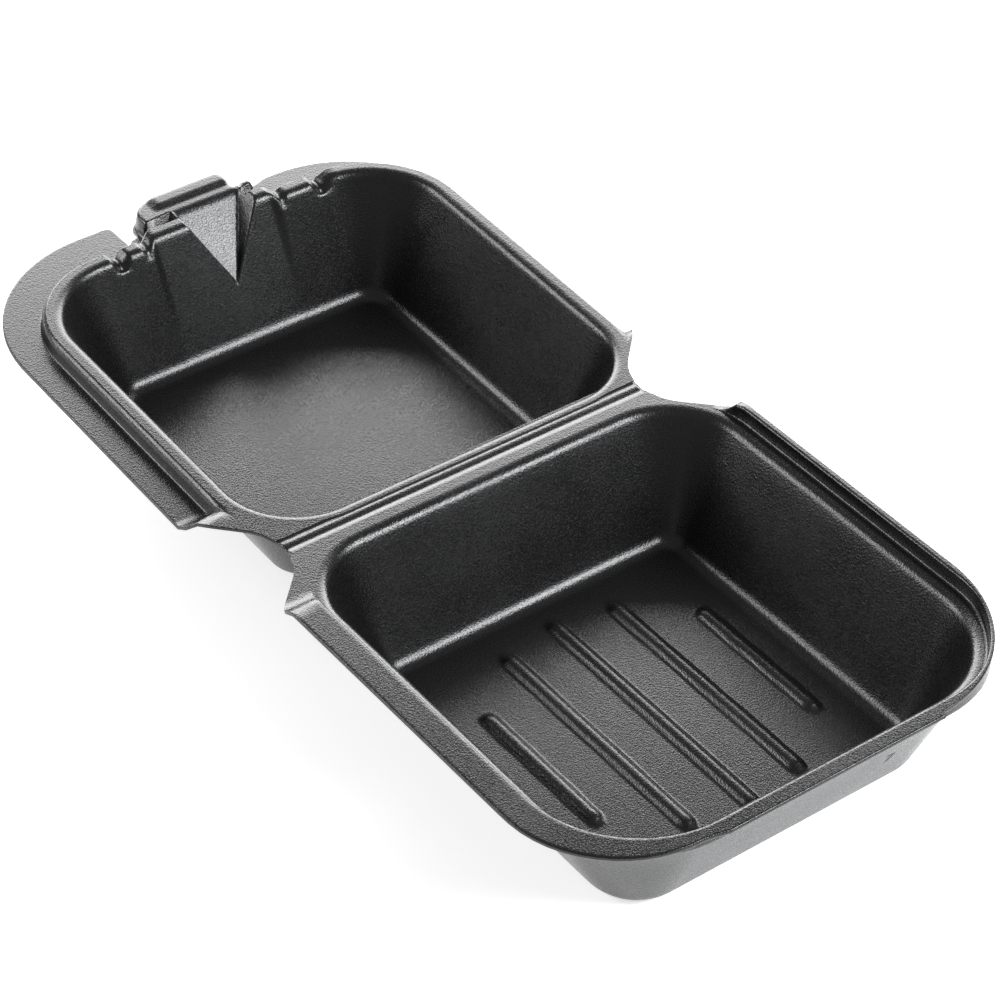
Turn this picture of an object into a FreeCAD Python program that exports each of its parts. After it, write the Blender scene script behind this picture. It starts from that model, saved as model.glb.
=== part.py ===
import FreeCAD, Part
import math
import os

# Foam clamshell container, open at its living hinge. One sheet of black foam is formed into a base
# tray and a lid, and die-cut round the edge. X runs along the hinge, the base lies at -Y and the lid
# at +Y, and the origin is the middle of the open container on the surface that it stands on.

# Sheet
wall = 2.0                # foam wall of the two cavities
rim_wall = 1.2            # sheet pinched in the rims and the hinge band
web_wall = 0.5            # sheet left under the hinge grooves

# Base cavity, measured on the inside
base_mouth_width = 128.0
base_mouth_length = 132.1
base_taper = 16.5         # from the mouth in to the floor, on every side
base_depth = 33.3
base_hinge_radius = 22.0
base_front_radius = 28.0
base_land = 8.1           # flat land between the fold line and the mouth of the base

# Lid cavity, measured on the inside; its mouth follows from the base's mouth and the rims
lid_taper = 16.0
lid_depth = 34.3
lid_hinge_radius = 22.0
lid_front_radius = 24.0
lid_land = 5.0            # flat land between the fold line and the mouth of the lid

floor_fillet = 5.0        # inside fillet where the walls meet the floors
mouth_round = 1.4         # rounded edge of the mouths

# Rims
ledge_width = 3.7         # ledge round the mouth of the base
riser_height = 4.4        # upright step outside the ledge
bead_width = 5.3          # bead round the mouth of the lid, at the level of the mouth
bead_clearance = 0.9      # between the lid's bead and the base's riser when the lid is shut
latch_room = 12.0         # the same in front, where the latch is
bead_height = 5.2         # above the lid's flange
bead_round = 1.6
ramp_start = 21.5         # from the fold line to where the side flanges leave the level of the land
ramp_length = 6.5

# Die-cut outline
side_flange = 4.1         # flange outside the base's riser, the mean of the two sides
front_flange = 2.1        # flange in front of the base's riser
cut_shift = 3.05          # how far the formed cavities lie to the right of the outline's middle
base_cut_radii = (33.0, 39.0)   # front corners of the base's outline, left and right
lid_cut_radii = (43.0, 39.0)
right_lobe_short = 5.3    # how far the lid's outline is cut back at the right
waist_inset = 15.05       # how far the hinge band is narrower than the outline, at each side
waist_radius = 16.0
shoulder_radius = 10.0
lip_width = 71.0          # straight stretch in the middle of the base's front edge
lip_reach = 1.5           # how far that stretch stands out

# Floor ribs of the base
rib_pitch = 17.6
rib_width = 4.8
rib_height = 1.5
rib_crown = 2.4           # width of a rib's flat top
rib_seam = 0.05           # straight bit left between the round ends, so that they stay two arcs each
rib_lengths = (85.0, 77.5, 47.5)   # the middle one, then each pair outwards
rib_shift = 1.7           # rib pattern towards the front from the middle of the floor

# Latch at the front of the lid
tab_width = 31.0
tab_inner = 4.3           # from the flank of the bead to the raised tab
tab_length = 9.4
tab_draft = 0.8           # how much wider the tab is at its foot, at each side
tab_round = 3.0
tab_step_length = 3.4     # raised outer strip of the tab
tab_step_height = 0.8
strip_margin = 3.0        # strip that carries the tab, past each end of it
slit_width = 1.2
slit_length = 4.5
slit_lead = 3.0           # part of it on the bead's side of the tab's inner edge
slit_round = 0.4
lobe_gap = 45.0           # between the two lobes of the lid's front flange
lobe_round = 3.0
lobe_foot = 1.0           # flange left in front of the bead between the lobes
wedge_width = 25.0        # wedge-shaped recess in the front wall of the lid
wedge_depth = 19.0
notch_spacing = 68.0      # two dents pressed into the bead
notch_width = 5.0
notch_depth = 2.2

# Hinge band
groove_spacing = 2.6
groove_width = 1.0

land_level = base_depth + wall
riser_half = base_mouth_width / 2 + ledge_width
riser_front = base_land + base_mouth_length + ledge_width
bead_half = riser_half - bead_clearance
bead_front = riser_front - latch_room
lid_mouth_width = 2 * (bead_half - bead_width)
lid_mouth_length = bead_front - bead_width - lid_land
cut_half = riser_half + rim_wall + side_flange
cut_reach = riser_front + rim_wall + front_flange
far = 2 * cut_reach       # longer than anything in the part
base_mouth = (base_land, base_mouth_width, base_mouth_length, base_hinge_radius, base_front_radius)
lid_mouth = (lid_land, lid_mouth_width, lid_mouth_length, lid_hinge_radius, lid_front_radius)

V = FreeCAD.Vector
DIAGONAL = math.sqrt(0.5)
least_radius = 0.05       # smallest corner that stays an arc
tolerance = 1e-3


def rounded_wire(cx, y_hinge, y_front, half, r_hinge, r_front, z):
    """A rectangle with round corners, as four lines and four arcs. y_hinge and y_front are its ends."""
    s = 1 if y_front > y_hinge else -1
    rh = max(r_hinge, least_radius)
    rf = max(r_front, least_radius)
    left, right = cx - half, cx + half
    yh, yf = y_hinge + s * rh, y_front - s * rf
    ch, cf = rh * (1 - DIAGONAL), rf * (1 - DIAGONAL)
    edges = [
        Part.LineSegment(V(left + rh, y_hinge, z), V(right - rh, y_hinge, z)),
        Part.Arc(V(right - rh, y_hinge, z), V(right - ch, y_hinge + s * ch, z), V(right, yh, z)),
        Part.LineSegment(V(right, yh, z), V(right, yf, z)),
        Part.Arc(V(right, yf, z), V(right - cf, y_front - s * cf, z), V(right - rf, y_front, z)),
        Part.LineSegment(V(right - rf, y_front, z), V(left + rf, y_front, z)),
        Part.Arc(V(left + rf, y_front, z), V(left + cf, y_front - s * cf, z), V(left, yf, z)),
        Part.LineSegment(V(left, yf, z), V(left, yh, z)),
        Part.Arc(V(left, yh, z), V(left + ch, y_hinge + s * ch, z), V(left + rh, y_hinge, z)),
    ]
    return Part.Wire([e.toShape() for e in edges])


def prism(wire, height):
    """The upright solid over a closed wire."""
    return Part.Face(wire).extrude(V(0, 0, height))


def slab(points, run):
    """A prism on a closed polygon, drawn along the vector run."""
    return Part.Face(Part.makePolygon(points + points[:1])).extrude(run)


def tub(side, mouth, taper, depth, grow):
    """The space of a tapered cavity, from its mouth down to its floor: planes at the sides, upright
    cones at the corners and a fillet at the floor. side is -1 for the base and 1 for the lid, and grow
    moves the walls and the floor outwards by the thickness of the foam."""
    land, width, length, hinge_radius, front_radius = mouth
    bottom = land_level - depth - grow
    height = depth + grow
    step = grow * math.hypot(taper, depth) / depth
    inset = height * taper / depth
    x0, y0 = width / 2 - hinge_radius, land + hinge_radius
    x1, y1 = width / 2 - front_radius, land + length - front_radius
    pieces = []
    for radius, x, y in ((hinge_radius, x0, y0), (front_radius, x1, y1)):
        for sign in (-1, 1):
            centre = V(cut_shift + sign * x, side * y, bottom)
            pieces.append(Part.makeCone(radius + step - inset, radius + step, height, centre))
    half = width / 2 + step
    across = [V(cut_shift - half, side * y0, land_level), V(cut_shift + half, side * y0, land_level),
              V(cut_shift + half - inset, side * y0, bottom), V(cut_shift - half + inset, side * y0, bottom)]
    pieces.append(slab(across, V(0, side * (y1 - y0), 0)))
    for x, y, edge, lean in ((x0, y1, land - step, inset), (x1, y0, land + length + step, -inset)):
        left = cut_shift - x
        along = [V(left, side * y, land_level), V(left, side * edge, land_level),
                 V(left, side * (edge + lean), bottom), V(left, side * y, bottom)]
        pieces.append(slab(along, V(2 * x, 0, 0)))
    body = pieces[0].multiFuse(pieces[1:]).removeSplitter()
    low_edges = [e for e in body.Edges if abs(e.BoundBox.ZMax - bottom) < tolerance]
    return body.makeFillet(floor_fillet + grow, low_edges)


def flank(side, sign, reach, radius, z):
    """One flank of the die-cut outline, from the fold line round the waist, the shoulder and the front
    corner. side picks the base or the lid, and sign the left or the right."""
    waist = cut_half - waist_inset
    half_turn = math.pi / 8   # middle of an arc of 45 degrees
    cos_mid = math.cos(half_turn)
    sin_mid = math.sin(half_turn)
    xs = cut_half - shoulder_radius
    x1 = waist + waist_radius * (1 - DIAGONAL)
    y1 = waist_radius * DIAGONAL
    x2 = xs + shoulder_radius * DIAGONAL
    y2 = y1 + x2 - x1
    ys = y2 + shoulder_radius * DIAGONAL
    xc, yc = cut_half - radius, reach - radius

    def at(x, y):
        return V(sign * x, side * y, z)

    waist_bulge = at(waist + waist_radius * (1 - cos_mid), waist_radius * sin_mid)
    shoulder_bulge = at(xs + shoulder_radius * cos_mid, ys - shoulder_radius * sin_mid)
    corner_bulge = at(xc + radius * DIAGONAL, yc + radius * DIAGONAL)
    parts = [Part.Arc(at(waist, 0), waist_bulge, at(x1, y1)), Part.LineSegment(at(x1, y1), at(x2, y2)),
             Part.Arc(at(x2, y2), shoulder_bulge, at(cut_half, ys)),
             Part.LineSegment(at(cut_half, ys), at(cut_half, yc)),
             Part.Arc(at(cut_half, yc), corner_bulge, at(xc, reach))]
    return [part.toShape() for part in parts]


def cut_wire(side, reaches, radii, middle, z):
    """One half of the die-cut outline. reaches and radii belong to its left and right front corners,
    and middle lists the points of the front edge between them, from the right to the left."""
    waist = cut_half - waist_inset
    left_end = V(radii[0] - cut_half, side * reaches[0], z)
    right_end = V(cut_half - radii[1], side * reaches[1], z)
    front = [right_end] + [V(x, side * y, z) for x, y in middle] + [left_end]
    edges = flank(side, -1, reaches[0], radii[0], z) + flank(side, 1, reaches[1], radii[1], z)
    edges += [Part.makeLine(a, b) for a, b in zip(front, front[1:])]
    edges.append(Part.makeLine(V(-waist, 0, z), V(waist, 0, z)))
    return Part.Wire(Part.__sortEdges__(edges))


def band(side, rise_low, rise_high):
    """The space between two sheets seen along X. Both are level with the land near the fold, then
    ramp by rise_low and rise_high; the space starts at the lower sheet's underside."""
    stations = [(0, 0), (ramp_start, 0), (ramp_start + ramp_length, 1), (far, 1)]
    top = [V(-far, side * y, land_level + rise_high * r) for y, r in stations]
    low = [V(-far, side * y, land_level + rise_low * r - rim_wall) for y, r in reversed(stations)]
    return slab(top + low, V(2 * far, 0, 0))


def ribs():
    """Floor ribs with round ends and sides that lean in."""
    middle = -(base_land + base_mouth_length / 2) - rib_shift
    pieces = []
    for index in range(-2, 3):
        x = cut_shift + index * rib_pitch
        rib_half = rib_lengths[abs(index)] / 2
        wires = []
        for half, z in ((rib_width / 2, wall), (rib_crown / 2, wall + rib_height)):
            inset = rib_width / 2 - half
            wires.append(rounded_wire(x, middle + rib_half - inset, middle - rib_half + inset,
                                      half, half - rib_seam, half - rib_seam, z))
        pieces.append(Part.makeLoft(wires, True, True))
    return pieces


def groove(side):
    """The groove pressed into the hinge band at one side of the fold line."""
    y = side * groove_spacing / 2
    low = land_level - (rim_wall - web_wall)
    half = groove_width / 2
    points = [V(-far, y - half, land_level), V(-far, y, low), V(-far, y + half, land_level)]
    return slab(points, V(2 * far, 0, 0))


def mouth_wire(side, mouth):
    """The edge of a mouth at the level of the land."""
    land, width, length, hinge_radius, front_radius = mouth
    return rounded_wire(cut_shift, side * land, side * (land + length), width / 2,
                        hinge_radius, front_radius, land_level)


def edges_on(shape, wire):
    """The edges of a shape that run along a wire."""
    found = []
    for e in shape.Edges:
        points = [e.valueAt((e.FirstParameter + e.LastParameter) / 2)] + [v.Point for v in e.Vertexes]
        if max(Part.Vertex(p).distToShape(wire)[0] for p in points) < tolerance:
            found.append(e)
    return found


def base_tray():
    """Cavity walls, ledge, riser and flange, all from the one sheet."""
    cavity = tub(-1, base_mouth, base_taper, base_depth, 0)
    outer = tub(-1, base_mouth, base_taper, base_depth, wall)
    front_radius = base_front_radius + ledge_width
    inner = rounded_wire(cut_shift, 0, -riser_front, riser_half, 0, front_radius, land_level)
    skin = rounded_wire(cut_shift, 0, -riser_front - rim_wall, riser_half + rim_wall, 0,
                        front_radius + rim_wall, land_level - rim_wall)
    half = lip_width / 2
    lip = [(half + lip_reach, cut_reach), (half, cut_reach + lip_reach),
           (-half, cut_reach + lip_reach), (-half - lip_reach, cut_reach)]
    outline = prism(cut_wire(-1, (cut_reach, cut_reach), base_cut_radii, lip, 0), far)
    flange = band(-1, riser_height, riser_height).common(outline)
    riser = prism(skin, far).common(band(-1, 0, riser_height)).common(outline)
    rim = flange.fuse(riser).cut(prism(inner, far))
    body = outer.fuse(rim).cut(cavity)
    body = body.makeFillet(mouth_round, edges_on(body, mouth_wire(-1, base_mouth)))
    body = body.fuse(ribs())
    return body.cut(groove(-1)).removeSplitter()


def lid_outline():
    """The lid's half of the die-cut outline, with its front cut back between the two lobes."""
    half = lobe_gap / 2
    reaches = (cut_reach, cut_reach - right_lobe_short)
    middle = [(0, reaches[1]), (0, reaches[0])]
    gap_foot = bead_front + rim_wall + lobe_foot
    gap = prism(rounded_wire(0, gap_foot, far, half, lobe_foot, lobe_foot, 0), far)
    outline = prism(cut_wire(1, reaches, lid_cut_radii, middle, 0), far).cut(gap)
    ends = []
    for e in outline.Edges:
        b = e.BoundBox
        upright = b.ZMax - b.ZMin > far / 2
        if upright and abs(abs(b.XMin) - half) < tolerance and b.YMin > gap_foot + lobe_round:
            ends.append(e)
    return outline.makeFillet(lobe_round, ends)


def latch_tab():
    """The raised tab at the front of the lid, hollow from below, with the strip that carries it."""
    half = tab_width / 2
    inner = bead_front + tab_inner
    foot = land_level - bead_height - rim_wall
    block, core = [
        Part.makeLoft([rounded_wire(0, inner + skin, inner + tab_length + tab_draft - skin,
                                    half + tab_draft - skin, tab_round - skin, tab_round - skin, foot),
                       rounded_wire(0, inner + skin, inner + tab_length - skin, half - skin,
                                    tab_round - skin, tab_round - skin, land_level - skin)], True, True)
        for skin in (0, rim_wall)]
    crest = inner + tab_length - tab_step_length
    raised = prism(rounded_wire(0, crest, inner + tab_length, half, 0, tab_round, land_level),
                   tab_step_height)
    strip_half = half + strip_margin
    strip = prism(rounded_wire(0, bead_front - rim_wall, inner + tab_round, strip_half,
                               0, strip_margin, foot), rim_wall)
    return block.fuse([raised, strip]).cut(core)


def slit():
    """The slit cut through the strip beside the right end of the tab."""
    start = bead_front + tab_inner - slit_lead
    bottom = land_level - bead_height - 2 * rim_wall
    wire = rounded_wire(tab_width / 2 + slit_width, start, start + slit_length, slit_width / 2,
                        slit_round, slit_round, bottom)
    return prism(wire, 3 * rim_wall)


def wedge(grow):
    """The trough in the front wall: two sides that meet in a keel, and a back that slopes up to the
    tab. grow moves all three outwards by the thickness of the sheet."""
    half = wedge_width / 2
    slope = lid_taper / lid_depth
    foot_y = lid_land + lid_mouth_length - wedge_depth * slope
    run = (bead_front + tab_inner - foot_y) / wedge_depth
    drop = grow * math.hypot(half, wedge_depth) / half
    back = grow * math.hypot(run, 1)
    low = land_level - wedge_depth - drop
    high = land_level + (0 if grow else wedge_depth)
    spread = half / wedge_depth * (high - low)
    y0 = foot_y - wedge_depth
    sides = [V(cut_shift, y0, low), V(cut_shift + spread, y0, high), V(cut_shift - spread, y0, high)]
    keel_y = foot_y + back - drop * run
    rear = [V(-far, y0, low), V(-far, keel_y, low),
            V(-far, keel_y + run * (high - low), high), V(-far, y0, high)]
    return slab(sides, V(0, far, 0)).common(slab(rear, V(2 * far, 0, 0)))


def dents(grow):
    """The two dents pressed across the front of the bead. grow is the thickness of the sheet under
    them, which also moves their ends in from the mouth and from the flank of the bead."""
    low = land_level - notch_depth - grow
    half = (notch_width + grow) / 2
    mouth_front = lid_land + lid_mouth_length
    y0 = mouth_front - rim_wall
    y1 = mouth_front + bead_width + rim_wall - grow
    pieces = []
    for sign in (-1, 1):
        x = cut_shift + sign * notch_spacing / 2
        points = [V(x - half, y0, land_level), V(x, y0, low), V(x + half, y0, land_level)]
        pieces.append(slab(points, V(0, y1 - y0, 0)))
    return pieces


def lid_shell():
    """Cavity walls, bead, flange with its two lobes, and the latch, all from the one sheet."""
    cavity = tub(1, lid_mouth, lid_taper, lid_depth, 0)
    outer = tub(1, lid_mouth, lid_taper, lid_depth, wall)
    front_radius = lid_front_radius + bead_width
    foot = land_level - bead_height - rim_wall
    bead = prism(rounded_wire(cut_shift, 0, bead_front, bead_half, 0, front_radius, foot),
                 bead_height + rim_wall)
    top_edges = [e for e in bead.Edges if e.BoundBox.ZMin > land_level - tolerance]
    crown = [e for e in top_edges if e.BoundBox.YMax > tolerance]
    bead = bead.makeFillet(bead_round, crown)
    hollow = prism(rounded_wire(cut_shift, 0, bead_front - rim_wall, bead_half - rim_wall, 0,
                                front_radius - rim_wall, foot), bead_height)
    outline = lid_outline()
    flange = band(1, -bead_height, -bead_height).common(outline)
    bead = bead.common(band(1, -bead_height, 0)).common(outline)
    rim = flange.fuse(bead).cut(hollow)
    plain = outer.fuse(rim).cut(cavity)
    rounded = plain.makeFillet(mouth_round, edges_on(plain, mouth_wire(1, lid_mouth)))
    formed = Part.makeCompound([wedge(rim_wall), latch_tab()] + dents(rim_wall))
    body = rounded.fuse(formed.cut([cavity, plain.cut(rounded)]))
    body = body.cut([wedge(0), slit(), groove(1)] + dents(0))
    return body.removeSplitter()


def rest_tilt():
    """How far the lid's front is raised, in degrees: the lid hangs from the fold until the rounded
    foot of its hinge wall meets the surface that the base stands on."""
    radius = floor_fillet + wall
    drop = lid_depth + wall - radius
    slope = lid_taper / lid_depth
    foot_y = lid_land + lid_taper + (radius - wall) * (math.hypot(slope, 1) - slope)
    reach = math.hypot(drop, foot_y)
    return math.degrees(math.acos((land_level - radius) / reach) - math.atan2(foot_y, drop))


os.makedirs("parts", exist_ok=True)
base = base_tray()
base.exportStep("parts/base_tray.step")
lid = lid_shell()
lid.rotate(V(0, 0, land_level), V(1, 0, 0), rest_tilt())
lid.exportStep("parts/lid.step")
for name, shape in (("base_tray", base), ("lid", lid)):
    print(name, shape.isValid(), len(shape.Solids), round(shape.Volume, 1), shape.BoundBox)
print("lid's front is raised by", round(rest_tilt(), 3), "degrees")
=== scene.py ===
import math
import bpy
import numpy as np
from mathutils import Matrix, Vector


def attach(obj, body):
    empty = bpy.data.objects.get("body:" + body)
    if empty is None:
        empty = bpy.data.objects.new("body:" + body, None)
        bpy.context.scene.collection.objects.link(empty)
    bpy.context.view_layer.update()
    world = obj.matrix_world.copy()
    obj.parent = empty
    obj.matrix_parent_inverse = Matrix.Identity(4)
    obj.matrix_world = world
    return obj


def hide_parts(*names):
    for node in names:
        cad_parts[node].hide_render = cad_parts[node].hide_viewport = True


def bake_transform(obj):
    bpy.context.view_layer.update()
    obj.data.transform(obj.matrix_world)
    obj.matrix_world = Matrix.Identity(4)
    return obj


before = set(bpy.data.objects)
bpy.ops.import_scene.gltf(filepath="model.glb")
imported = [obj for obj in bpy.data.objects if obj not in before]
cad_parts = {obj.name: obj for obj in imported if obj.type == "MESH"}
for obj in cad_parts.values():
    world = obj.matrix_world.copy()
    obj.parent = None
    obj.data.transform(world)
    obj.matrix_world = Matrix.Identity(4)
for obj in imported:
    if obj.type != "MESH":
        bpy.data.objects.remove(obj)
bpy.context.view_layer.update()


# Base tray. One half of a sheet of black foam, about 2 mm thick with a denser skin, formed hot over a
# ribbed mould: floor, tapered walls, rounded mouth, narrow ledge, upright riser and a die-cut flange.
# All sizes are in millimetres: u is across the tray from its middle, v is the distance from the fold.
FOAM = 2.0
PINCHED = 1.2

# The land round the mouths lies at this height, and the cavities this far off the die cut's middle.
LAND = 35.3
SHIFT = 3.05

# The die-cut outline, which is the same in both halves but for its front, and the ramp from the land up
# to the flanges beside the hinge.
WEB_REACH = 3.2
CUT_HALF = 73.0
CUT_REACH = 147.2
WAIST = 57.95
WAIST_RADIUS = 16.0
SHOULDER_RADIUS = 10.0
RAMP = (20.5, 25.7)

# The mesh's rings: the least distance between two on a rim, and the numbers on the two fillets.
LEAST_STEP = 0.02
MOUTH_STATIONS = 7
FLOOR_STATIONS = 8
FLOOR_FILLET = 5.0

# The mouth: its distance from the fold (land), half width, length and corner radii at the hinge and in
# front. The wall: taper on every side, depth, how much further out the front wall's foot lies and
# further in the left wall's. The rim: its width, the flange's rise over the land, and where (beside)
# and how far out and up (pushed) it is formed. The mesh: cells across, along and in two corners.
BASE = {"land": 8.1, "half": 64.0, "length": 132.1, "radii": (22.0, 28.0), "mouth_round": 3.8,
        "taper": 16.5, "depth": 33.3, "front_lean": 2.9, "left_lean": 0.0,
        "rim": 3.7, "rise": 4.4, "beside": np.zeros_like, "pushed": (0.0, 0.0),
        "cells": (136, 66, 16), "wall_steps": 8}


def outline_ring(half, low, high, radii, across, along, corner):
    """A rounded rectangle as one closed ring of points and outward directions. Straight stretches are
    cut at the given shares of their length; a corner is centre + radius * (cos, sin). The ring starts
    in the middle of the corner at -u, low v, and runs towards +u, so that it has four even sides."""
    r_low, r_high = radii
    quarter = np.linspace(0.0, math.pi / 2, 2 * corner + 1)
    stretches = [
        ((-half + r_low, low), (half - r_low, low), across, (0, -1)),
        ((half, low + r_low), (half, high - r_high), along, (1, 0)),
        ((half - r_high, high), (-half + r_high, high), 1 - across[::-1], (0, 1)),
        ((-half, high - r_high), (-half, low + r_low), 1 - along[::-1], (-1, 0)),
    ]
    corners = [
        ((half - r_low, low + r_low), r_low, -math.pi / 2),
        ((half - r_high, high - r_high), r_high, 0.0),
        ((-half + r_high, high - r_high), r_high, math.pi / 2),
        ((-half + r_low, low + r_low), r_low, math.pi),
    ]
    points, ways = [], []
    for (a, b, shares, way), (centre, radius, start) in zip(stretches, corners):
        a, b = np.array(a), np.array(b)
        points.append(a + shares[:-1, None] * (b - a))
        ways.append(np.tile(np.array(way, float), (len(shares) - 1, 1)))
        turn = np.stack([np.cos(start + quarter[:-1]), np.sin(start + quarter[:-1])], 1)
        points.append(np.array(centre) + radius * turn)
        ways.append(turn)
    points, ways = np.concatenate(points), np.concatenate(ways)
    return np.roll(points, corner, 0), np.roll(ways, corner, 0)


def patch_inside(ring, n_across, n_along):
    """Fills a closed ring with a grid of (n_across + 1) x (n_along + 1) points: each is the blend of the
    two points across from each other, plus the blend of the two along, less the blend of the corners."""
    low = ring[:n_across + 1]
    right = ring[n_across:n_across + n_along + 1]
    high = ring[n_across + n_along:2 * n_across + n_along + 1][::-1]
    left = np.concatenate([ring[2 * n_across + n_along:], ring[:1]])[::-1]

    def shares(a, b, axis):
        step = np.abs(np.diff((a + b)[:, axis]))
        run = np.concatenate([[0.0], np.cumsum(step)])
        return run / run[-1]

    s = shares(low, high, 0)[:, None, None]
    t = shares(left, right, 1)[None, :, None]
    blend_v = (1 - t) * low[:, None] + t * high[:, None]
    blend_u = (1 - s) * left[None] + s * right[None]
    corners = ((1 - s) * (1 - t) * low[0] + s * (1 - t) * low[-1]
               + (1 - s) * t * high[0] + s * t * high[-1])
    return blend_v + blend_u - corners


def closed_shell(name, core, rings, core_below, side, tilt=0.0, hole=None):
    """One closed mesh: the core grid, rings of points outwards over the rim and back underneath, and the
    core of the underside. side mirrors v to -Y or +Y, and tilt turns the piece about the fold line. hole
    is (first top ring, first ring underneath, number of rings, first column, number of columns)."""
    n_u, n_v = core.shape[0], core.shape[1]
    border = np.concatenate([
        np.stack([np.arange(n_u - 1), np.zeros(n_u - 1, int)], 1),
        np.stack([np.full(n_v - 1, n_u - 1), np.arange(n_v - 1)], 1),
        np.stack([np.arange(n_u - 1, 0, -1), np.full(n_u - 1, n_v - 1)], 1),
        np.stack([np.zeros(n_v - 1, int), np.arange(n_v - 1, 0, -1)], 1),
    ])
    border_index = border[:, 0] * n_v + border[:, 1]
    n = len(border)
    points = np.concatenate([core.reshape(-1, 3), rings.reshape(-1, 3), core_below.reshape(-1, 3)])
    first_ring = n_u * n_v
    below = first_ring + rings.shape[0] * n
    grid = np.arange(n_u * n_v).reshape(n_u, n_v)
    cells = np.stack([grid[:-1, :-1], grid[1:, :-1], grid[1:, 1:], grid[:-1, 1:]], -1).reshape(-1, 4)
    ring_index = first_ring + np.arange(rings.shape[0] * n).reshape(-1, n)
    levels = np.concatenate([border_index[None], ring_index, below + border_index[None]])
    inner, outer = levels[:-1], levels[1:]
    sides = np.stack([inner, outer, np.roll(outer, -1, 1), np.roll(inner, -1, 1)], -1).reshape(-1, 4)
    if hole:
        top, under, deep, column, wide = hole
        keep = np.ones(inner.shape, bool)
        columns = np.arange(column, column + wide)
        for first in (top, under):
            keep[first:first + deep, columns] = False
        keep = keep.reshape(-1)
        loop = [(k, column) for k in range(deep)] + [(deep, c) for c in range(column, column + wide)]
        loop += [(k, column + wide) for k in range(deep, 0, -1)]
        loop += [(0, c) for c in range(column + wide, column, -1)]
        loop = np.array(loop)
        upper = levels[top + loop[:, 0], loop[:, 1]]
        lower = levels[under + deep - loop[:, 0], loop[:, 1]]
        tube = np.stack([upper, lower, np.roll(lower, -1), np.roll(upper, -1)], 1)
        sides = np.concatenate([sides[keep], tube[:, ::-1]])
    faces = np.concatenate([cells, sides, below + cells[:, ::-1]])
    if side < 0:
        faces = faces[:, ::-1]
    x = points[:, 0] + SHIFT
    y = side * points[:, 1]
    z = points[:, 2]
    y, z = y * math.cos(tilt) - z * math.sin(tilt), y * math.sin(tilt) + z * math.cos(tilt)
    placed = np.stack([x, y, z + LAND], 1) * 0.001
    mesh = bpy.data.meshes.new(name)
    mesh.from_pydata(placed.tolist(), [], faces.tolist())
    mesh.polygons.foreach_set("use_smooth", np.ones(len(faces), bool))
    mesh.update()
    piece = bpy.data.objects.new(name, mesh)
    bpy.context.scene.collection.objects.link(piece)
    return piece


def smooth_step(t):
    """A soft S from 0 to 1: 3 * t squared - 2 * t cubed."""
    t = np.clip(t, 0, 1)
    return t * t * (3 - 2 * t)


def die_line(reaches, radii, front):
    """The die-cut edge of one half as a closed line of (u, v), from the web at v = WEB_REACH: waist arc,
    slanted shoulder, straight side and a round front corner on each side. reaches and radii are those of
    the left and the right corner, and front lists the points of the front edge from +x to -x."""
    k = math.sqrt(0.5)
    y1, x1 = WAIST_RADIUS * k, WAIST + WAIST_RADIUS * (1 - k)
    xs = CUT_HALF - SHOULDER_RADIUS
    y2 = y1 + xs + SHOULDER_RADIUS * k - x1
    ys = y2 + SHOULDER_RADIUS * k
    start = math.asin(WEB_REACH / WAIST_RADIUS)
    a = np.linspace(start, math.pi / 4, 12)
    waist = np.stack([WAIST + WAIST_RADIUS * (1 - np.cos(a)), WAIST_RADIUS * np.sin(a)], 1)
    b = np.linspace(-math.pi / 4, 0, 10)
    shoulder = np.stack([xs + SHOULDER_RADIUS * np.cos(b), ys + SHOULDER_RADIUS * np.sin(b)], 1)
    c = np.linspace(0, math.pi / 2, 40)
    left, right = [
        np.concatenate([waist, shoulder, np.stack([CUT_HALF - radius * (1 - np.cos(c)),
                                                   reach - radius * (1 - np.sin(c))], 1)])
        for reach, radius in zip(reaches, radii)]
    line = np.concatenate([right, np.array(front, float).reshape(-1, 2), left[::-1] * np.array([-1, 1])])
    return line - np.array([SHIFT, 0.0])


def reach_to(line, points, ways):
    """For each point, how far it is along its direction to the closed line: the nearest crossing of the
    ray point + d * way with the stretches of the line."""
    a, b = line, np.roll(line, -1, 0)
    e = b - a
    rel = a[None] - points[:, None]
    cross = ways[:, None, 0] * e[None, :, 1] - ways[:, None, 1] * e[None, :, 0]
    cross = np.where(np.abs(cross) < 1e-9, 1e-9, cross)
    d = (rel[..., 0] * e[None, :, 1] - rel[..., 1] * e[None, :, 0]) / cross
    s = (rel[..., 0] * ways[:, None, 1] - rel[..., 1] * ways[:, None, 0]) / cross
    good = (d > 1e-6) & (s >= -1e-9) & (s <= 1 + 1e-9)
    return np.where(good, d, 1e9).min(1)


def ramp(v):
    """0 near the hinge and 1 further out, along a soft S between the two ends of the ramp."""
    return smooth_step((v - RAMP[0]) / (RAMP[1] - RAMP[0]))


def wall_profile(form, skin, mouth_round, wall_steps):
    """Stations of a wall from the floor up to the mouth, as (distance on the floor, share of the way up
    the wall, distance past the mouth). A fillet is a quadratic curve between two points that lie at
    radius * tan(slope / 2) from the corner: (1 - t) squared of the first and t squared of the second."""
    slope = math.atan2(form["depth"], form["taper"])
    slant = math.hypot(form["depth"], form["taper"])
    foot = (FLOOR_FILLET + skin) * math.tan(slope / 2)
    lip = mouth_round * math.tan(slope / 2)
    out = []
    for t in np.linspace(0.0, 1.0, FLOOR_STATIONS):
        on_floor, on_wall = -(1 - t) ** 2 * foot, t ** 2 * foot
        out.append((on_floor, on_wall / slant, 0.0))
    for t in np.linspace(0, 1, wall_steps + 2)[1:-1]:
        out.append((0.0, (foot + t * (slant - foot - lip)) / slant, 0.0))
    for t in np.linspace(0.0, 1.0, MOUTH_STATIONS):
        out.append((0.0, 1 - (1 - t) ** 2 * lip / slant, t ** 2 * lip))
    return out


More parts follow.
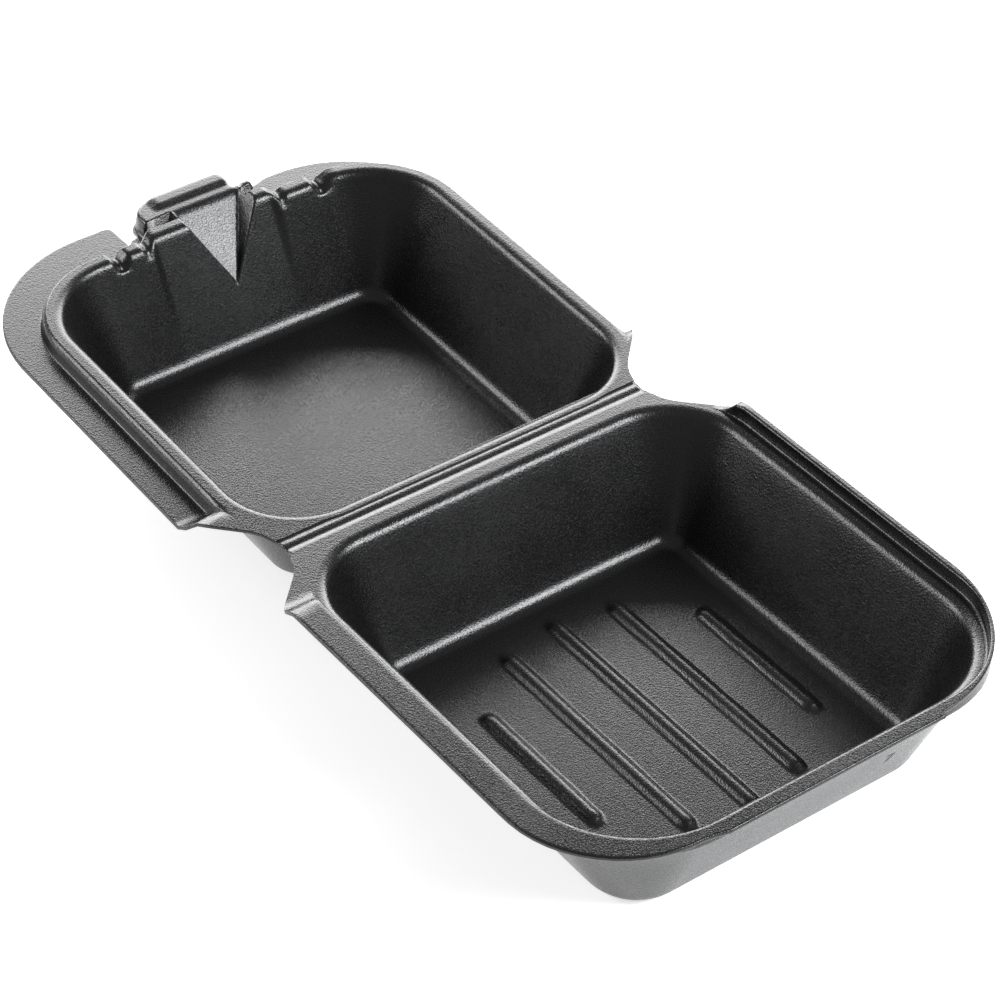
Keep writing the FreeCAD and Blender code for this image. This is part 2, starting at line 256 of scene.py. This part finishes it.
def pressed_mark(tree, place, centre, turn, half):
    """A short stroke on an upright wall that faces -Y: 1 - distance from its middle over its half size,
    and 0 outside it. turn is its slope against X, and half its half length, half depth and half width."""
    mapping = tree.nodes.new("ShaderNodeMapping")
    mapping.vector_type = "TEXTURE"
    mapping.inputs["Location"].default_value = centre
    mapping.inputs["Rotation"].default_value = (0, -turn, 0)
    mapping.inputs["Scale"].default_value = half
    spot = tree.nodes.new("ShaderNodeTexGradient")
    spot.gradient_type = "SPHERICAL"
    tree.links.new(place.outputs["Object"], mapping.inputs["Vector"])
    tree.links.new(mapping.outputs["Vector"], spot.inputs["Vector"])
    return spot.outputs["Fac"]


def foam_material(name, tint, roughness):
    """Formed foam sheet: a skin of grains about half a millimetre across over soft dimples. Each grain is
    turned a little its own way and has a roughness of its own, so that the sheet glitters: roughness
    + 0.05 to - 0.03 in slow clouds, plus half of the grain's height over its middle."""
    material = bpy.data.materials.new(name)
    material.use_nodes = True
    tree = material.node_tree
    nodes, links = tree.nodes, tree.links
    shader = nodes["Principled BSDF"]
    place = nodes.new("ShaderNodeTexCoord")
    grain = nodes.new("ShaderNodeTexNoise")
    grain.inputs["Scale"].default_value = 2500.0
    grain.inputs["Detail"].default_value = 2.0
    grain.inputs["Roughness"].default_value = 0.6
    cells = nodes.new("ShaderNodeTexVoronoi")
    cells.inputs["Scale"].default_value = 1850.0
    dimples = nodes.new("ShaderNodeTexNoise")
    dimples.inputs["Scale"].default_value = 420.0
    dimples.inputs["Detail"].default_value = 2.0
    clouds = nodes.new("ShaderNodeTexNoise")
    clouds.inputs["Scale"].default_value = 35.0
    clouds.inputs["Detail"].default_value = 4.0
    for texture in (grain, cells, dimples, clouds):
        links.new(place.outputs["Object"], texture.inputs["Vector"])
    colour = nodes.new("ShaderNodeValToRGB")
    colour.color_ramp.elements[0].position = 0.35
    colour.color_ramp.elements[0].color = (tint[0] * 0.6, tint[1] * 0.6, tint[2] * 0.6, 1)
    colour.color_ramp.elements[1].position = 0.75
    colour.color_ramp.elements[1].color = (tint[0] * 1.6, tint[1] * 1.6, tint[2] * 1.6, 1)
    links.new(grain.outputs["Fac"], colour.inputs["Fac"])
    links.new(colour.outputs["Color"], shader.inputs["Base Color"])
    grain_share = 0.5
    cloudy = nodes.new("ShaderNodeMapRange")
    cloudy.inputs["From Min"].default_value = 0.3
    cloudy.inputs["From Max"].default_value = 0.7
    cloudy.inputs["To Min"].default_value = roughness + 0.05 - 0.5 * grain_share
    cloudy.inputs["To Max"].default_value = roughness - 0.03 - 0.5 * grain_share
    links.new(clouds.outputs["Fac"], cloudy.inputs["Value"])
    speckle = nodes.new("ShaderNodeMath")
    speckle.operation = "MULTIPLY_ADD"
    speckle.inputs[1].default_value = grain_share
    links.new(grain.outputs["Fac"], speckle.inputs[0])
    links.new(cloudy.outputs["Result"], speckle.inputs[2])
    links.new(speckle.outputs[0], shader.inputs["Roughness"])
    reliefs = [(grain.outputs["Fac"], 0.6, 0.00007), (cells.outputs["Distance"], 0.5, 0.00008),
               (dimples.outputs["Fac"], 0.1, 0.0001)]
    normal = None
    for height, strength, distance in reliefs:
        relief = nodes.new("ShaderNodeBump")
        relief.inputs["Strength"].default_value = strength
        relief.inputs["Distance"].default_value = distance
        links.new(height, relief.inputs["Height"])
        if normal:
            links.new(normal, relief.inputs["Normal"])
        normal = relief.outputs["Normal"]
    # A small scratch on the outside of the tray's front wall, in two strokes.
    strokes = [pressed_mark(tree, place, (0.0304, -0.135, 0.0168), 1.15, (0.0031, 0.006, 0.0007)),
               pressed_mark(tree, place, (0.0296, -0.135, 0.0185), 0.35, (0.0013, 0.006, 0.0005))]
    either = nodes.new("ShaderNodeMath")
    either.operation = "MAXIMUM"
    links.new(strokes[0], either.inputs[0])
    links.new(strokes[1], either.inputs[1])
    dull = nodes.new("ShaderNodeMapRange")
    dull.inputs["From Max"].default_value = 0.35
    dull.inputs["To Min"].default_value = 0.5
    dull.inputs["To Max"].default_value = 0.03
    links.new(either.outputs[0], dull.inputs["Value"])
    links.new(dull.outputs["Result"], shader.inputs["Specular IOR Level"])
    dent = nodes.new("ShaderNodeBump")
    dent.invert = True
    dent.inputs["Strength"].default_value = 0.8
    dent.inputs["Distance"].default_value = 0.0003
    links.new(either.outputs[0], dent.inputs["Height"])
    links.new(normal, dent.inputs["Normal"])
    links.new(dent.outputs["Normal"], shader.inputs["Normal"])
    return material


def formed_half(name, form, across, line, rim, change, side, tilt=0.0, hole=None):
    """Builds one half of the sheet. Inside the mouth the points lie between the floor's outline and the
    mouth's. Outside it they lie at the distances from the mouth that the rim's stations give, up to the
    die line: first those of the top, then those underneath. change(points, below) presses the last
    forms into either face."""
    corner = form["cells"][2] // 2
    along = np.linspace(0, 1, form["cells"][1] + 1)
    n_across, n_along = len(across) - 1 + 2 * corner, len(along) - 1 + 2 * corner
    half, taper, depth = form["half"], form["taper"], form["depth"]
    low, high = form["land"], form["land"] + form["length"]
    radii = np.array(form["radii"])
    rim_stations, under_stations = rim
    mouth, ways = outline_ring(half, low, high, radii, across, along, corner)
    beside = np.where(ways[:, 1] > 0.999, form["beside"](mouth[:, 0]), 0.0)
    bulge, lift = form["pushed"][0] * beside, form["pushed"][1] * beside
    mouth = mouth + ways * bulge[:, None]
    reach = reach_to(line, mouth, ways)
    edge = mouth + ways * reach[:, None]
    for target in (line[0], line[-1]):
        nearest = np.argmin(np.hypot(*(edge - target).T))
        edge[nearest] = target
    reach = np.hypot(*(edge - mouth).T)
    ways_out = (edge - mouth) / reach[:, None]
    rim_width = np.minimum(form["rim"], reach - PINCHED - 0.06)

    def wall_ring(station, skin):
        """A ring on the wall's inner face, or on its outer one where skin is the sheet's thickness:
        floor outline + share * (mouth outline - floor outline), at height -depth * (1 - share)."""
        on_floor, share, past = station
        out = skin * math.hypot(depth, taper) / depth
        floor_out = out - (depth + skin) * taper / depth
        front_out = floor_out + form["front_lean"]
        ring = outline_ring(half + floor_out, low - floor_out, high + front_out, radii + floor_out,
                            across, along, corner)[0]
        ring[:, 0] *= np.where(ring[:, 0] < 0, 1 - form["left_lean"] / (half + floor_out), 1.0)
        top, way = outline_ring(half + out, low - out, high + out, radii + out, across, along, corner)
        z = -(depth + skin) * (1 - share) + share * lift
        uv = ring + share * (top - ring) + way * (on_floor + past + share * bulge)[:, None]
        return np.column_stack([uv, z])

    def rim_ring(distance, z):
        """A ring on the rim: mouth + distance * way out, with its height taken up along the ramp."""
        uv = mouth + ways_out * distance[:, None]
        return np.column_stack([uv, z * ramp(uv[:, 1]) + lift * (1 - z / form["rise"])])

    rings = [wall_ring(s, 0.0) for s in wall_profile(form, 0.0, form["mouth_round"], form["wall_steps"])]
    core_ring = rings.pop(0)
    last = np.full(len(mouth), form["mouth_round"] * math.tan(math.atan2(depth, taper) / 2))
    for station in rim_stations:
        d, z = station(rim_width, reach)
        last = np.maximum(d, last + LEAST_STEP)
        rings.append(rim_ring(last, z))
    top_count = len(rings)
    for station in under_stations:
        d, z = station(rim_width, reach)
        last = np.minimum(d, last - LEAST_STEP)
        rings.append(rim_ring(last, z) - np.array([0, 0, PINCHED]))
    under = [wall_ring(s, FOAM) for s in wall_profile(form, FOAM, 0.01, 3)[:-MOUTH_STATIONS]][::-1]
    core_under_ring = under.pop()
    rings = np.array(rings + under)
    core = patch_inside(core_ring, n_across, n_along)
    core_below = patch_inside(core_under_ring, n_across, n_along)
    core[...] = change(core, 0.0)
    rings[:top_count] = change(rings[:top_count], 0.0)
    rings[top_count:] = change(rings[top_count:], 1.0)
    return closed_shell(name, core, rings, core_below, side, tilt, hole and hole(rings, top_count))


def ledge(share):
    """A station of the rim gives the distance from the mouth and the height over the land, from the
    rim's width and the distance to the die line. On the ledge: 1 + share * (width - 1.8), at 0."""
    return lambda rim, reach: (1.0 + share * (rim - 1.8), np.zeros_like(rim))


def riser_foot(t, rise, radius=0.8):
    """Where the ledge turns into the riser: a quarter circle, by radius * (sin, 1 - cos)."""
    a = t * math.pi / 2
    return lambda rim, reach: (rim - radius + radius * math.sin(a),
                               np.full_like(rim, math.copysign(radius * (1 - math.cos(a)), rise)))


def riser_top(t, rise, radius=0.8):
    """Where the riser turns into the flange: a quarter circle, by radius * (1 - cos, sin)."""
    a = t * math.pi / 2

    def place(rim, reach):
        r = np.minimum(radius, 0.45 * (reach - rim))
        return rim + 0.05 + r * (1 - math.cos(a)), rise - math.copysign(1, rise) * (r - r * math.sin(a))
    return place


def flange(share, rise):
    """A share of the level way from the end of the riser's top to 0.3 inside the die line."""
    def place(rim, reach):
        start = rim + 0.05 + np.minimum(0.8, 0.45 * (reach - rim))
        end = reach - 0.3
        return start + share * (end - start), np.full_like(rim, rise)
    return place


def cut_edge(t, rise, drop):
    """The die-cut edge, slightly rounded where the blade pressed the skin down."""
    return lambda rim, reach: (reach - 0.3 * (1 - t), np.full_like(rim, rise - drop))


def flange_under(share, rise):
    """A share of the level way back, from just inside the die line to just outside the riser."""
    def place(rim, reach):
        start = reach - 0.1
        end = rim + PINCHED + 0.02
        return start + share * (end - start), np.full_like(rim, rise)
    return place


def riser_outside(t, rise):
    """The far face of the riser, from under the flange to under the ledge: outside the tray's riser, and
    inside the lid's, which stands the other way up."""
    away = math.copysign(PINCHED, rise)
    return lambda rim, reach: (rim + away - 0.03 * t, np.full_like(rim, rise * (1 - t)))


def ledge_under(share, rise):
    """A share of the level way under the ledge, from the riser's far face to the wall's outer face."""
    away = math.copysign(PINCHED, rise) - 0.4
    return lambda rim, reach: (rim + away - share * (rim + away - 2.35), np.zeros_like(rim))


def rim_sections(rise, flange_shares, under_shares=(0.3, 0.7, 1.0), crown_round=0.8):
    """The stations of a whole rim: those of the top from the mouth to the die line, and those underneath
    on the way back."""
    over = [ledge(s) for s in (0.2, 0.4, 0.6, 0.8)]
    over += [riser_foot(t, rise, crown_round) for t in (0.0, 0.33, 0.67, 1.0)]
    over += [riser_top(t, rise) for t in (0.0, 0.33, 0.67, 1.0)]
    over += [flange(s, rise) for s in flange_shares]
    over += [cut_edge(t, rise, drop) for t, drop in ((0.0, 0.0), (0.7, 0.1), (1.0, 0.4), (1.0, 0.9))]
    below = [cut_edge(0.6, rise, 0.0)]
    below += [flange_under(s, rise) for s in under_shares]
    below += [riser_outside(t, rise) for t in (0.15, 0.5, 0.85, 1.0)]
    below += [ledge_under(s, rise) for s in (0.0, 0.5, 1.0)]
    return over, below


RIB_PITCH = 17.6
RIB_LENGTHS = (85.0, 77.5, 47.5)
RIB_HALF = 2.6
RIB_HEIGHT = 1.5
RIB_END = 2.4
RIB_FORWARD = 1.7
FRONT_HALF = 35.5
FRONT_STEP = 1.5


def base_form(points, below):
    """Adds the five floor ribs: round-topped bars, height * (1 - (distance / half width) to the power
    2.2) with softened feet, where distance is measured from the rib's middle line."""
    if below or abs(points[..., 2].min() + BASE["depth"]) > 0.01:
        return points
    u, v, z = points[..., 0], points[..., 1], points[..., 2]
    middle = BASE["land"] + BASE["length"] / 2 + RIB_FORWARD
    lift = np.zeros_like(u)
    for index in range(-2, 3):
        reach = RIB_LENGTHS[abs(index)] / 2 - RIB_END
        along = np.maximum(np.abs(v - middle) - reach, 0)
        away = np.hypot(u - index * RIB_PITCH, along)
        t = np.clip(1 - away / RIB_HALF, 0, 1)
        lift = np.maximum(lift, RIB_HEIGHT * (1 - (1 - t) ** 2.2) * np.clip(t / 0.12, 0, 1))
    on_floor = np.clip(1 - (z + BASE["depth"]) / 1.0, 0, 1)
    return np.stack([u, v, z + lift * on_floor], -1)


front = [(FRONT_HALF + FRONT_STEP, CUT_REACH), (FRONT_HALF, CUT_REACH + FRONT_STEP),
         (-FRONT_HALF, CUT_REACH + FRONT_STEP), (-FRONT_HALF - FRONT_STEP, CUT_REACH)]
tray = formed_half("tray_shell", BASE, np.linspace(0, 1, BASE["cells"][0] + 1),
                   die_line((CUT_REACH, CUT_REACH), (33.0, 39.0), front),
                   rim_sections(BASE["rise"], (0.12, 0.35, 0.65, 0.9)), base_form, -1)
black_foam = foam_material("black_foam", (0.0058, 0.0058, 0.006), 0.245)
tray.data.materials.append(black_foam)
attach(tray, "base")
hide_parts("base_tray")


# Lid. The other half of the same sheet: a slightly smaller tapered cavity, a raised bead round its
# mouth that drops inside the base's riser, and a lower flange outside it with two lobes in front.
# Between the lobes the bead bulges out to the latch: a wedge-shaped recess that runs up to a raised tab.
LID_TAPER = 16.0
LID_DEPTH = 34.3
BEAD_RISE = 5.2
FOOT_RADIUS = 7.0

# The open lid hangs from the fold and rests on the rounded foot of its hinge wall, which tilts it.
foot_slope = LID_TAPER / LID_DEPTH
foot_y = 5.0 + LID_TAPER + (FOOT_RADIUS - FOAM) * (math.hypot(foot_slope, 1) - foot_slope)
foot_drop = LID_DEPTH + FOAM - FOOT_RADIUS
TILT = math.acos((LAND - FOOT_RADIUS) / math.hypot(foot_drop, foot_y)) - math.atan2(foot_y, foot_drop)


def bead_bulge(u):
    """Where the bead is pushed out and up: 1 up to 18.6 from the middle, then a soft S down to 0."""
    return smooth_step((22.2 - np.abs(u)) / 3.6)


LID = {"land": 5.0, "half": 61.5, "length": 121.6, "radii": (22.0, 24.0), "mouth_round": 3.1,
       "taper": LID_TAPER, "depth": LID_DEPTH, "front_lean": 0.0, "left_lean": 1.7,
       "rim": 5.3, "rise": -BEAD_RISE, "beside": bead_bulge, "pushed": (1.7, 1.2),
       "cells": (208, 44, 16), "wall_steps": 44}
CROWN_ROUND = 2.0

# Everything in front of the first is the front wall and rim, and in front of the second only the flange.
FRONT_WALL = 110.0
FLANGE_START = 134.0

# The tab and the lug beside it: their ends, outer side and outer corners' radii. The tab starts at its
# inner side, its outer strip is higher by rise from step on, and its left end is lower.
TAB = {"left": -17.4, "right": 13.4, "inner": 136.7, "outer": 146.2, "corners": (7.0, 2.6),
       "step": 140.0, "rise": 0.8, "strip_left": -12.5}
LUG = {"left": 8.0, "right": 19.2, "outer": 139.2, "corners": (1.0, 1.6)}
SADDLE = {"middle": 15.2, "depth": 0.7, "half": 1.3, "start": 136.5}
TAB_DRAFT = 0.8
HOLE = (14.2, 137.6)

# Dents across the bead as (place, depth, half width), and the recess: its apex, depth below the land
# there, and how far its two sides reach from the apex at the top.
DENTS = ((-31.5, 2.5, 3.3), (36.0, 2.5, 3.3), (-22.6, 0.8, 2.2), (22.6, 0.8, 2.2))
APEX = (2.1, 118.9)
RECESS_DEPTH = 18.2
RECESS_SIDES = (10.1, 11.9)


def box_distance(u, v, left, right, outer, corners):
    """Distance outside a shape that is open towards the mouth and has two round outer corners: the
    plain box distance, with each corner's radius taken off its own sides."""
    middle = 0.5 * (left + right)
    radius = np.where(u < middle, corners[0], corners[1])
    across = np.where(u < middle, left - u, u - right) + radius
    along = v - outer + radius
    beyond = np.hypot(np.maximum(across, 0), np.maximum(along, 0))
    return np.minimum(np.maximum(across, along), 0) + beyond - radius


def pressed_block(distance, top, edge_round):
    """Height of a block with drafted sides: level inside, a quarter circle at the edge, then a straight
    side that falls 1 mm for every TAB_DRAFT / BEAD_RISE outwards."""
    inside = np.clip(-distance, 0, edge_round)
    rounding = edge_round - np.sqrt(np.maximum(edge_round ** 2 - (edge_round - inside) ** 2, 0))
    return top - rounding - np.maximum(distance, 0) * BEAD_RISE / TAB_DRAFT


def latch_height(u, v, z):
    """The sheet's height beside the latch: the flange or bead, or the tab and the lug where they stand
    higher, less a line pressed where the tab starts. The line is depth * exp(-(distance / width)
    squared), and so is the saddle between the tab and the lug."""
    tab = box_distance(u, v, TAB["left"], TAB["right"], TAB["outer"], TAB["corners"])
    strip = smooth_step((v - TAB["step"]) / 0.9) * smooth_step((u - TAB["strip_left"]) / 3.5)
    block = pressed_block(tab, TAB["rise"] * strip, 1.3)
    lug = box_distance(u, v, LUG["left"], LUG["right"], LUG["outer"], LUG["corners"])
    saddle = SADDLE["depth"] * np.exp(-((u - SADDLE["middle"]) / SADDLE["half"]) ** 2)
    saddle = saddle * smooth_step((v - SADDLE["start"]) / 1.5)
    bridge = pressed_block(lug, -saddle, 1.0)
    raised = np.maximum(block, bridge)
    pressed = 0.45 * np.exp(-((v - TAB["inner"]) / 0.35) ** 2)
    return np.where(v > TAB["inner"] - 0.1, np.maximum(z, raised - pressed), z)


def lid_form(points, below):
    """The pressed forms of the lid's front: the dents across the bead, the tab, and the recess, whose
    height is held under the higher of a plane that slopes up to the tab and the two sides of a V. The
    two are joined by a soft minimum: a blend of both less soft * h * (1 - h), where h is the blend."""
    u, v, z = points[..., 0], points[..., 1], points[..., 2]
    front = v > FRONT_WALL
    skin = PINCHED * below
    dent = sum(deep * (1 - smooth_step(np.abs(u - place) / half)) for place, deep, half in DENTS)
    z = np.where(front & (v < FLANGE_START), z - dent * smooth_step((z + skin + 4.2) / 3), z)
    if below:
        samples = [latch_height(u + a, v + b, np.full_like(u, -BEAD_RISE))
                   for a, b in ((0, 0), (PINCHED, 0), (-PINCHED, 0), (0, PINCHED), (0, -PINCHED))]
        sheet = np.min(samples, axis=0) - PINCHED
        z = np.where(v > TAB["inner"] + 0.8, np.maximum(z, sheet), z)
    else:
        z = latch_height(u, v, z)
    rise_to = (v - APEX[1]) / (TAB["inner"] - APEX[1])
    back = -RECESS_DEPTH * (1 - rise_to)
    aside = np.where(u < APEX[0], (APEX[0] - u) / RECESS_SIDES[0], (u - APEX[0]) / RECESS_SIDES[1])
    sides = -RECESS_DEPTH * (1 - aside)
    skin = 1.6 * below
    trough = np.maximum(back, sides) - skin
    soft = np.where(u > APEX[0], 0.9, 0.45)
    h = np.clip(0.5 + 0.5 * (trough - z) / soft, 0, 1)
    low = trough * (1 - h) + z * h - soft * h * (1 - h)
    z = np.where(front & (v < TAB["inner"] + 0.2), np.minimum(low, z), z)
    # Between the bead and the tab the trough goes on at its own height, with no hollow in front of it.
    inside = (v > 130) & (v < TAB["inner"] + 0.2) & (sides < 0.4)
    z = np.where(inside, np.minimum(trough, 0.0), z)
    return np.stack([u, v, z], -1)


def latch_columns():
    """Shares of the front's straight stretch, dense within 24 of the middle and coarser beside it."""
    half = LID["half"] - LID["radii"][1]
    dense = np.linspace(-24.0, 24.0, 161)
    beside = np.linspace(24.0, half, 25)[1:-1]
    u = np.concatenate([[-half], -beside[::-1], dense, beside, [half]])
    return (u + half) / (2 * half)


def latch_hole(rings, top_count):
    """The small die-cut hole beside the tab's right end: three rings by six columns of cells of the
    flange, in the top and in the underside below it. The last four rings of the top are the cut edge."""
    deep, wide = 3, 6
    first = top_count - 4 - len(flange_shares)
    ring = rings[first + len(flange_shares) // 2]
    column = int(np.argmin(np.abs(ring[:, 0] - HOLE[0]) + np.where(ring[:, 1] < 120, 1e3, 0)))
    index = int(np.argmin(np.abs(rings[first:top_count - 4, column, 1] - HOLE[1])))
    under = top_count + 1 + len(flange_shares) - index - deep
    return first + index + 1, under, deep, column - wide // 2, wide


def soften(line, radius, steps=6):
    """Rounds the corners of an open line of points: each corner is replaced by a quadratic curve that
    starts and ends at the radius, or at half of the shorter neighbour."""
    line = np.array(line, float)
    out = [line[:1]]
    t = np.linspace(0, 1, steps)[:, None]
    for a, b, c in zip(line[:-2], line[1:-1], line[2:]):
        r = min(radius, 0.5 * np.hypot(*(a - b)), 0.5 * np.hypot(*(c - b)))
        p = b + (a - b) / np.hypot(*(a - b)) * r
        q = b + (c - b) / np.hypot(*(c - b)) * r
        out.append((1 - t) ** 2 * p + 2 * t * (1 - t) * b + t ** 2 * q)
    return np.concatenate(out + [line[-1:]])


# The front edge from the right lobe, round the slit, tab and notch, to the left lobe.
LEFT_REACH = CUT_REACH - 0.2
RIGHT_REACH = CUT_REACH - 4.5
front = soften([
    (38.0, RIGHT_REACH), (30.0, RIGHT_REACH), (27.5, 141.7), (22.9, 140.8), (17.8, 140.8),
    (17.35, 142.0), (17.35, 147.1), (-8.0, 147.1), (-15.4, 143.0), (-15.4, 138.4), (-18.6, 138.2),
    (-19.9, 134.6), (-20.3, 134.6), (-20.3, LEFT_REACH), (-27.0, LEFT_REACH),
    (-32.0, LEFT_REACH)], 2.2)
flange_shares = (0.06, 0.16, 0.25, 0.3, 0.34, 0.38, 0.42, 0.47,
                 0.56, 0.66, 0.76, 0.82, 0.87, 0.91, 0.94, 0.97)
under_shares = [1 - share for share in flange_shares[::-1]] + [1.0]
lid = formed_half("lid_shell", LID, latch_columns(),
                  die_line((LEFT_REACH, RIGHT_REACH), (42.0, 39.0), front),
                  rim_sections(LID["rise"], flange_shares, under_shares, CROWN_ROUND),
                  lid_form, 1, TILT, latch_hole)
lid.data.materials.append(black_foam)
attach(lid, "lid")
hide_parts("lid")


# Hinge web. The band between the two halves is pinched thin in two lines with a ridge between them, so
# that the sheet folds there.
GROOVES = ((-1.0, 1.0), (2.2, 0.8))
GROOVE_DEPTH = 0.34
WEB_COLUMNS = 121


def web_strip():
    """A closed strip: across it the half width follows the waist's arc, and along the section the top is
    the land less two round grooves, depth * exp(-((y - groove) / width) squared). Behind the fold the
    section turns up to the lid's tilt."""
    y = np.linspace(-WEB_REACH, WEB_REACH, 65)
    x_share = np.linspace(-1, 1, WEB_COLUMNS)
    half = WAIST + WAIST_RADIUS * (1 - np.sqrt(1 - (y / WAIST_RADIUS) ** 2))
    top = -sum(GROOVE_DEPTH * np.exp(-((y - groove) / width) ** 2) for groove, width in GROOVES)
    low = np.full_like(y, -PINCHED)
    section_y = np.concatenate([y, y[::-1]])
    section_z = np.concatenate([top, low])
    section_half = np.concatenate([half, half[::-1]])
    lean = np.where(section_y > 0, TILT * np.clip(section_y / WEB_REACH * 2, 0, 1), 0)
    py = section_y * np.cos(lean) - section_z * np.sin(lean)
    pz = section_y * np.sin(lean) + section_z * np.cos(lean)
    x = x_share[:, None] * section_half[None]
    points = np.stack([x, np.tile(py, (WEB_COLUMNS, 1)), np.tile(pz + LAND, (WEB_COLUMNS, 1))], -1) * 0.001
    grid = np.arange(WEB_COLUMNS * len(section_y)).reshape(WEB_COLUMNS, -1)
    next_row = np.roll(grid, -1, 1)
    faces = np.stack([grid[:-1], grid[1:], next_row[1:], next_row[:-1]], -1).reshape(-1, 4)
    return points.reshape(-1, 3), faces, grid


points, faces, grid = web_strip()
mesh = bpy.data.meshes.new("hinge_web")
ends = [grid[0].tolist(), grid[-1][::-1].tolist()]
mesh.from_pydata(points.tolist(), [], faces.tolist() + ends)
mesh.polygons.foreach_set("use_smooth", np.ones(len(mesh.polygons), bool))
mesh.update()
web = bpy.data.objects.new("hinge_web", mesh)
bpy.context.scene.collection.objects.link(web)
web.data.materials.append(black_foam)
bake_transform(web)


# Floor, light and camera. The container stands on white paper that shows its shadow. The camera stands
# where the photograph's did: place, turn, focal length and middle come from the container's own edges.
bpy.ops.mesh.primitive_plane_add(size=8)
floor = bpy.context.object
floor.name = "floor"
paper = bpy.data.materials.new("white_paper")
paper.use_nodes = True
paper_tree = paper.node_tree
paper_shader = paper_tree.nodes["Principled BSDF"]
paper_shader.inputs["Base Color"].default_value = (0.82, 0.82, 0.82, 1)
paper_shader.inputs["Roughness"].default_value = 0.9
paper_shader.inputs["Emission Color"].default_value = (1, 1, 1, 1)
path = paper_tree.nodes.new("ShaderNodeLightPath")
seen = paper_tree.nodes.new("ShaderNodeMath")
seen.operation = "MAXIMUM"
lift = paper_tree.nodes.new("ShaderNodeMath")
lift.operation = "MULTIPLY"
lift.inputs[1].default_value = 0.63
paper_tree.links.new(path.outputs["Is Camera Ray"], seen.inputs[0])
paper_tree.links.new(path.outputs["Is Glossy Ray"], seen.inputs[1])
paper_tree.links.new(seen.outputs[0], lift.inputs[0])
paper_tree.links.new(lift.outputs[0], paper_shader.inputs["Emission Strength"])
floor.data.materials.append(paper)

world = bpy.data.worlds.new("studio")
bpy.context.scene.world = world
world.use_nodes = True
world.node_tree.nodes["Background"].inputs["Color"].default_value = (1, 1, 1, 1)
world.node_tree.nodes["Background"].inputs["Strength"].default_value = 0.28


def soft_lamp(name, place, size, power, colour=(1.0, 1.0, 1.0)):
    """A rectangular area lamp that faces the container; power in watts, sizes in metres."""
    data = bpy.data.lights.new(name, "AREA")
    data.shape = "RECTANGLE"
    data.size, data.size_y = size
    data.energy = power
    data.color = colour
    lamp = bpy.data.objects.new(name, data)
    bpy.context.scene.collection.objects.link(lamp)
    lamp.location = place
    lamp.rotation_euler = (Vector((0, 0, 0.02)) - Vector(place)).to_track_quat("-Z", "Y").to_euler()


soft_lamp("key", (0.66, -0.88, 0.84), (0.6, 0.6), 23, (0.96, 0.98, 1.0))
soft_lamp("back_panel", (0.58, 0.78, 0.42), (1.5, 0.62), 25)
soft_lamp("left_panel", (-0.85, 0.82, 0.6), (0.5, 0.6), 9)

IMAGE_SIZE = 1000
camera_data = bpy.data.cameras.new("camera")
camera_data.sensor_width = 36.0
camera_data.lens = 3382.63 / IMAGE_SIZE * camera_data.sensor_width
camera_data.shift_x = (IMAGE_SIZE / 2 - 496.4) / IMAGE_SIZE
camera_data.shift_y = (499.29 - IMAGE_SIZE / 2) / IMAGE_SIZE
camera_data.clip_end = 20
camera = bpy.data.objects.new("camera", camera_data)
bpy.context.scene.collection.objects.link(camera)
bpy.context.scene.camera = camera
camera.location = (-0.41128, -0.55893, 0.59139)
camera.rotation_euler = [math.radians(a) for a in (50.708, -0.693, -36.420)]

bpy.context.scene.view_settings.view_transform = "Standard"
